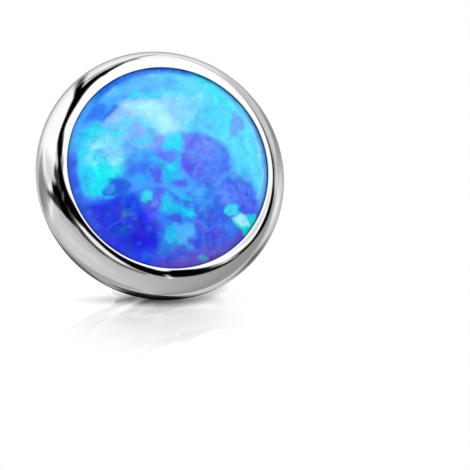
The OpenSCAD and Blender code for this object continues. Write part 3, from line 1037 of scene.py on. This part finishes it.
# The black flag that runs all round: azimuth, top edge, bottom edge, tone
STUDIO_FLAG = [
    (-180, 60, 46, 0.04), (-165, 64, 47, 0.03), (-150, 67, 48, 0.03), (-135, 69, 52.5, 0.03),
    (-120, 70, 54.5, 0.03), (-105, 67, 49.5, 0.03), (-90, 60, 43, 0.03), (-75, 59, 36, 0.03),
    (-65, 56, 29, 0.03), (-57, 49, 24, 0.03), (-48, 44, 23, 0.03), (-40, 41, 23, 0.03),
    (-30, 39, 21, 0.03), (-22, 34, 14, 0.03), (-15, 28, 4, 0.03), (-8, 20, -3, 0.03),
    (0, 13, -9, 0.03), (6, 8, -11, 0.03), (11, 14, -12, 0.03), (18, 8, -14, 0.04),
    (27, 1, -15, 0.06), (38, -4, -15, 0.05), (50, -4, -12, 0.06), (60, 2, -10, 0.05),
    (68, 10, -8, 0.05), (76, 17, 0, 0.1), (84, 24, 10, 0.25), (92, 28, 18, 0.42),
    (104, 30, 23, 0.6), (120, 30, 24, 0.72), (140, 28, 22, 0.8), (155, 27, 20, 0.95),
    (175, 56, 44, 1), (180, 60, 46, 0.04),
]

# The pale sweep under it: azimuth, top edge, tone
STUDIO_SWEEP = [
    (-180, -58, 0.92), (-165, -45, 0.86), (-150, -36, 0.82), (-120, -27, 0.8), (-105, -14, 0.8),
    (-95, 0, 0.8), (-85, 12, 0.79), (-60, 14, 0.78), (-40, 14, 0.76), (-20, 5, 0.73), (0, -5, 0.68),
    (30, -10, 0.62), (60, -6, 0.58), (76, 0, 0.6), (84, 4, 0.76), (92, 8, 0.86), (120, 10, 0.88),
    (150, 10, 0.95), (168, 0, 0.97), (180, -58, 0.92),
]

# Smaller flags and windows: name, tone, softness of the edge, and a stroke of points, each with its half
# width
STUDIO_STROKES = [
    ("low sheen", 0.83, 20, [(-104, -28, 4), (-80, -25, 4), (-58, -26, 3), (-44, -36, 2)]),
    ("low shade", 0.60, 24, [(-142, -52, 4), (-118, -62, 6), (-85, -70, 6), (-52, -76, 5)]),
    ("low grey", 0.69, 14, [(-82, -2, 2), (-60, 4, 3), (-42, -3, 3), (-22, -8, 3)]),
    ("left haze", 0.84, 14, [(-122, 14, 3), (-108, 16, 6), (-97, 24, 6)]),
    ("left haze, near", 0.70, 10, [(-87, 25, 2), (-93, 17, 3)]),
    ("left grey", 0.60, 16, [(-154, -28, 6), (-132, -13, 13), (-110, -3, 6)]),
    ("left grey's core", 0.53, 12, [(-150, -29, 3), (-128, -9, 4), (-108, -3, 2)]),
    ("outline's grey, left", 0.84, 14, [(-192, -12, 8), (-176, -12, 8), (-160, -18, 8)]),
    ("outline's grey", 0.76, 14, [(152, -14, 6), (168, -12, 8)]),
    ("grey below the flag", 0.62, 12, [(-160, 41, 1), (-172, 40, 3), (-190, 42, 3), (-200, 44, 1)]),
    ("dark arc", 0.03, 4, [(-147, 53, 3.5), (-155, 45, 3.5), (-162, 37, 3.5), (-166, 30, 3)]),
    ("dark arc's tail", 0.26, 6, [(-166, 30, 2.5), (-173, 17, 2), (-180, 3, 1)]),
    ("lower flag", 0.03, 6, [(-85, 15, 7), (-72, 19, 11), (-58, 18.5, 8.5)]),
    ("flag's tail", 0.16, 6, [(-80, 11, 5), (-93, 5, 3), (-108, -2, 1)]),
    ("dull pane", 0.22, 8, [(-83, 33, 5), (-73, 34, 6)]),
    ("flag's patch", 0.88, 6, [(-93, 44, 2.5), (-79, 42, 3)]),
    ("upper patch", 0.60, 6, [(-66, 51, 1), (-54, 52, 3)]),
    ("slit", 0.50, 4, [(-65, 25, 1), (-59, 33, 1)]),
    ("grey slope", 0.24, 8, [(-54, 22, 4), (-45, 12, 4.5), (-34, 4, 3), (-22, -3, 2), (-10, -8, 1.5)]),
    ("front window", 0.95, 7, [(-36, 21, 3), (-30, 15, 5), (-19, 4, 3.5)]),
    ("white slit", 0.95, 4, [(4, -4, 0.8), (5, -15, 1.6)]),
    ("dim corner", 0.84, 10, [(38, 12, 2), (50, 10, 5), (62, 16, 3)]),
    ("low window", 0.92, 6, [(28, -3, 1), (36, -6, 2), (44, -9, 1)]),
    ("right glow", 0.97, 10, [(92, -16, 5), (104, -20, 4)]),
    ("right haze", 0.78, 8, [(92, 12, 5), (100, 15, 6), (112, 17, 7), (124, 16, 6), (134, 13, 3)]),
    ("right haze, near", 0.64, 6, [(80, 8, 3), (88, 11, 4)]),
    ("right grey", 0.62, 16, [(98, 0, 3), (118, -4, 6), (142, -16, 6)]),
    ("right low grey", 0.42, 16, [(94, -42, 3), (114, -45, 6), (132, -42, 3)]),
    ("far arc", 0.30, 7, [(156, 22, 0), (163, 38, 1.5), (172, 50, 3.5), (183, 56, 6)]),
    ("far arc's root", 0.05, 6, [(169, 48, 1), (176, 53, 4), (184, 57, 6)]),
    ("shadow beneath", 0.16, 26, [(-185, -76, 10), (-150, -80, 9), (-128, -86, 5)]),
    ("limb's shade, left", 0.50, 12, [(-199, -28, 3), (-180, -42, 6), (-160, -52, 8)]),
    ("limb's shade", 0.28, 12, [(161, -28, 3), (176, -40, 6)]),
    ("shadow's cone", 0.08, 6, [(161, -29, 2), (162, -45, 9), (164, -64, 18)]),
    ("shadow behind", 0.16, 26, [(185, -74, 10), (145, -78, 10), (120, -86, 5)]),
]

# How softly the flag and the sweep end, in degrees
FLAG_EDGE = 5.5
SWEEP_EDGE = 8.0
# A tone to this power, times the light of white, is the light that the steel mirrors
TONE_POWER = 2.2
STUDIO_WHITE = 1.75
# The light on everything that isn't a mirror
EVEN_LIGHT = 1.3
WHITE = (1, 1, 1, 1)


def stroke_group():
    """One soft stroke of the studio, laid over what is there: straight from a start to an end in azimuth
    and elevation, its half width, in the third number of each, changing evenly between them."""
    tree, given, made = new_group(
        "studio_stroke",
        [("Place", VECTOR, None), ("Start", VECTOR, None), ("End", VECTOR, None), ("Softness", NUMBER, 4.0),
         ("Tone", NUMBER, 1.0), ("Seen", NUMBER, 1.0)],
        [("Seen", NUMBER)],
    )

    def step_to(place_at):
        """The step from the start to a place, in azimuth and elevation alone."""
        return vectors(tree, "MULTIPLY", vectors(tree, "SUBTRACT", place_at, given["Start"]), (1, 1, 0))

    run, gone = step_to(given["End"]), step_to(given["Place"])
    along = vectors(tree, "DOT_PRODUCT", gone, run)
    share = maths(tree, "DIVIDE", along, vectors(tree, "DOT_PRODUCT", run, run))
    share = place(tree, "Clamp", share).outputs[0]
    away = vectors(tree, "LENGTH", vectors(tree, "SUBTRACT", gone, scaled(tree, run, share)))
    first, last = split(tree, given["Start"])["Z"], split(tree, given["End"])["Z"]
    width = maths(tree, "MULTIPLY_ADD", maths(tree, "SUBTRACT", last, first), share, first)
    within = maths(tree, "DIVIDE", maths(tree, "SUBTRACT", width, away), given["Softness"])
    change = maths(tree, "SUBTRACT", given["Tone"], given["Seen"])
    seen = maths(tree, "MULTIPLY_ADD", change, remap(tree, within, -0.5, 0.5), given["Seen"])
    feed(tree, made["Seen"], seen)
    return tree


def round_curve(tree, azimuth, rows, column, low, high):
    """A smooth curve of one column of a table over the azimuth; the curve itself runs from 0 to 1."""
    made = place(tree, "FloatCurve")
    curve = made.mapping.curves[0]
    places = [((row[0] + 180) / 360, (row[column] - low) / (high - low)) for row in rows]
    curve.points[0].location = places[0]
    curve.points[1].location = places[-1]
    for point in places[1:-1]:
        curve.points.new(*point)
    for point in curve.points:
        point.handle_type = "AUTO_CLAMPED"
    made.mapping.update()
    feed(tree, made.inputs["Value"], maths(tree, "MULTIPLY_ADD", azimuth, 1 / 360, 0.5))
    return maths(tree, "MULTIPLY_ADD", made.outputs["Value"], high - low, low)


def stretches():
    """The strokes' straight stretches in the order they are laid: name, tone, softness, start and end. A
    stroke that reaches the line straight behind the object is laid a second time, one turn away."""
    for name, tone, softness, points in STUDIO_STROKES:
        reach = max(abs(azimuth) + half for azimuth, _, half in points) + softness / 2
        other_side = -360 if points[0][0] > 0 else 360
        for shift in (0,) if reach < 180 else (0, other_side):
            shifted = [(azimuth + shift, elevation, half) for azimuth, elevation, half in points]
            for start, end in zip(shifted, shifted[1:]):
                yield name, tone, softness, start, end


def build_studio():
    """The light: even white for the floor and the stone, and the drawn studio for what the steel
    mirrors."""
    world = bpy.data.worlds.new("studio")
    bpy.context.scene.world = world
    world.cycles.sampling_method = "NONE"
    tree = empty_tree(world)
    parts = split(tree, place(tree, "TexCoord").outputs["Generated"])
    forward = maths(tree, "MULTIPLY", parts["Y"], -1.0)
    azimuth = maths(tree, "DEGREES", maths(tree, "ARCTAN2", parts["X"], forward))
    elevation = maths(tree, "DEGREES", maths(tree, "ARCSINE", parts["Z"]))
    here = join(tree, azimuth, elevation, 0.0)

    def edge(rows, column, softness, above):
        """Share of a soft edge: 1 on its lower side, or on its upper side where above is true."""
        past = maths(tree, "SUBTRACT", round_curve(tree, azimuth, rows, column, -90, 90), elevation)
        width = -softness if above else softness
        return remap(tree, maths(tree, "DIVIDE", past, width), -0.5, 0.5)

    def over(seen, tone, share):
        """Lays a tone over what is seen."""
        return maths(tree, "MULTIPLY_ADD", maths(tree, "SUBTRACT", tone, seen), share, seen)

    sweep_tone = round_curve(tree, azimuth, STUDIO_SWEEP, 2, 0, 1)
    flag_tone = round_curve(tree, azimuth, STUDIO_FLAG, 3, 0, 1)
    above, below = edge(STUDIO_FLAG, 1, FLAG_EDGE, False), edge(STUDIO_FLAG, 2, FLAG_EDGE, True)
    seen = over(1.0, sweep_tone, edge(STUDIO_SWEEP, 1, SWEEP_EDGE, False))
    seen = over(seen, flag_tone, maths(tree, "MULTIPLY", above, below))
    stroke = stroke_group()
    for name, tone, softness, start, end in stretches():
        seen = use_group(
            tree, stroke, Place=here, Start=start, End=end, Softness=softness, Tone=tone, Seen=seen
        )["Seen"]
        seen.node.label = name
    mirrored = maths(tree, "MULTIPLY", maths(tree, "POWER", seen, TONE_POWER), STUDIO_WHITE)
    path = place(tree, "LightPath").outputs
    even = maths(tree, "MULTIPLY_ADD", path["Is Camera Ray"], 1.0 - EVEN_LIGHT, EVEN_LIGHT)
    level = over(even, mirrored, path["Is Glossy Ray"])
    background = place(tree, "Background", WHITE, level)
    feed(tree, place(tree, "OutputWorld").inputs["Surface"], background.outputs[0])


FLOOR_RADIUS = 8.0
FLOOR_CORNERS = 96
BOARD_GREY = 0.86
# The board's marks lie across the photograph's line of sight, turned by this many degrees
BOARD_TURN = -18.84
# The polish of the board by the object: its middle, its reach along and across, the share of the reach at
# which it begins to fade, its strength and its roughness
GLOSS_MIDDLE = (-0.76, -1.75)
GLOSS_REACH = (2.1, 1.9)
GLOSS_FADE = 0.2
GLOSS_SHARE = 0.34
GLOSS_ROUGHNESS = 0.035
# The shade where the object touches the board: how far it is felt, the open shares between which it
# fades, its darkest light for the camera and, with the open share at which it ends, for the steel
SHADE_REACH = 0.24
SHADE_FADE = (0.15, 0.75)
SHADE_SOFT = 0.60
SHADE_DARK = 0.15
DARK_FADE = 0.7
# The thin painted shadow line below the head: its middle on the board, its half length and half width,
# and its light
SHADOW_LINE_MIDDLE = (-0.63, -1.33)
SHADOW_LINE_REACH = (1.75, 0.34)
SHADOW_LINE_DARK = 0.12


def build_floor():
    """A round of pale board that the object lies on: white to the camera, with a polish and a shade close
    to it. The steel sees the drawn studio through it, shaded where the object touches the board."""
    angle = np.linspace(0, 2 * np.pi, FLOOR_CORNERS, endpoint=False)
    rim = np.c_[np.cos(angle), np.sin(angle), np.zeros(FLOOR_CORNERS)] * FLOOR_RADIUS * MM
    mesh = bpy.data.meshes.new("floor")
    mesh.from_pydata(rim.tolist(), [], [list(range(FLOOR_CORNERS))])
    floor = bpy.data.objects.new("floor", mesh)
    bpy.context.scene.collection.objects.link(floor)
    material = bpy.data.materials.new("pale_board")
    tree = empty_tree(material)

    def away(middle, reach):
        """Distance from the middle of a long round mark on the board, 1 at its edge."""
        centre = (middle[0] * MM, middle[1] * MM, 0)
        size = (reach[0] * MM, reach[1] * MM, MM)
        return vectors(tree, "LENGTH", own_place(tree, centre, (0, 0, math.radians(BOARD_TURN)), size))

    open_share = place(tree, "AmbientOcclusion", None, SHADE_REACH * MM).outputs["AO"]
    # A painted shadow: the thin dark line below the head
    line = remap(tree, away(SHADOW_LINE_MIDDLE, SHADOW_LINE_REACH), 0.0, 1.0, SHADOW_LINE_DARK, 1.0)
    shade = maths(tree, "MULTIPLY", remap(tree, open_share, *SHADE_FADE, SHADE_SOFT, 1.0), line)
    white = place(tree, "Emission", WHITE, shade)
    gloss = place(tree, "BsdfGlossy", WHITE, GLOSS_ROUGHNESS)
    glossy = remap(tree, away(GLOSS_MIDDLE, GLOSS_REACH), GLOSS_FADE, 1.0, GLOSS_SHARE, 0.0)
    polished = place(tree, "MixShader", glossy, white.outputs[0], gloss.outputs[0])
    matt = place(tree, "BsdfDiffuse", (BOARD_GREY, BOARD_GREY, BOARD_GREY, 1))
    drawn = place(tree, "BsdfTransparent", remap(tree, open_share, 0.0, DARK_FADE, SHADE_DARK, 1.0))
    path = place(tree, "LightPath").outputs
    lit = place(tree, "MixShader", path["Is Glossy Ray"], matt.outputs[0], drawn.outputs[0])
    both = place(tree, "MixShader", path["Is Camera Ray"], lit.outputs[0], polished.outputs[0])
    feed(tree, place(tree, "OutputMaterial").inputs["Surface"], both.outputs[0])
    mesh.materials.append(material)
    return floor


# The camera: where it stands from the head's middle, and where the photograph shows that middle
CAMERA_AZIMUTH = -18.84
CAMERA_ELEVATION = 28.24
LENS = 600.0
SENSOR = 36.0
FAR_CLIP = 10.0
PICTURE_PIXELS = 470
PIXELS_PER_MM = 50.79
HEAD_PIXEL = (160.67, 174.96)


def build_camera():
    """A long lens at the photograph's angle, aimed so that the head's middle falls on its pixel."""
    scene = bpy.context.scene
    data = bpy.data.cameras.new("camera")
    data.lens = LENS
    data.sensor_width = SENSOR
    data.clip_start = MM
    data.clip_end = FAR_CLIP
    camera = bpy.data.objects.new("camera", data)
    scene.collection.objects.link(camera)
    a, e = math.radians(CAMERA_AZIMUTH), math.radians(CAMERA_ELEVATION)
    toward = Vector((math.sin(a) * math.cos(e), -math.cos(a) * math.cos(e), math.sin(e)))
    right = Vector((math.cos(a), math.sin(a), 0))
    up = toward.cross(right)
    head = BACK_CENTRE + OUT_OF_FACE * BELLY_HEIGHT * MM
    distance = PICTURE_PIXELS / PIXELS_PER_MM * MM * LENS / SENSOR
    step = MM / PIXELS_PER_MM
    middle = PICTURE_PIXELS / 2
    aim = head + right * (middle - HEAD_PIXEL[0]) * step - up * (middle - HEAD_PIXEL[1]) * step
    camera.location = head + toward * distance
    ahead = (aim - camera.location).normalized()
    side = ahead.cross(Vector((0, 0, 1))).normalized()
    turned = Matrix((side, side.cross(ahead), -ahead)).transposed().to_4x4()
    camera.matrix_world = Matrix.Translation(camera.location) @ turned
    scene.camera = camera
    scene.view_settings.view_transform = "Standard"
    return camera


build_setting()
build_stone()
build_floor()
build_studio()
build_camera()
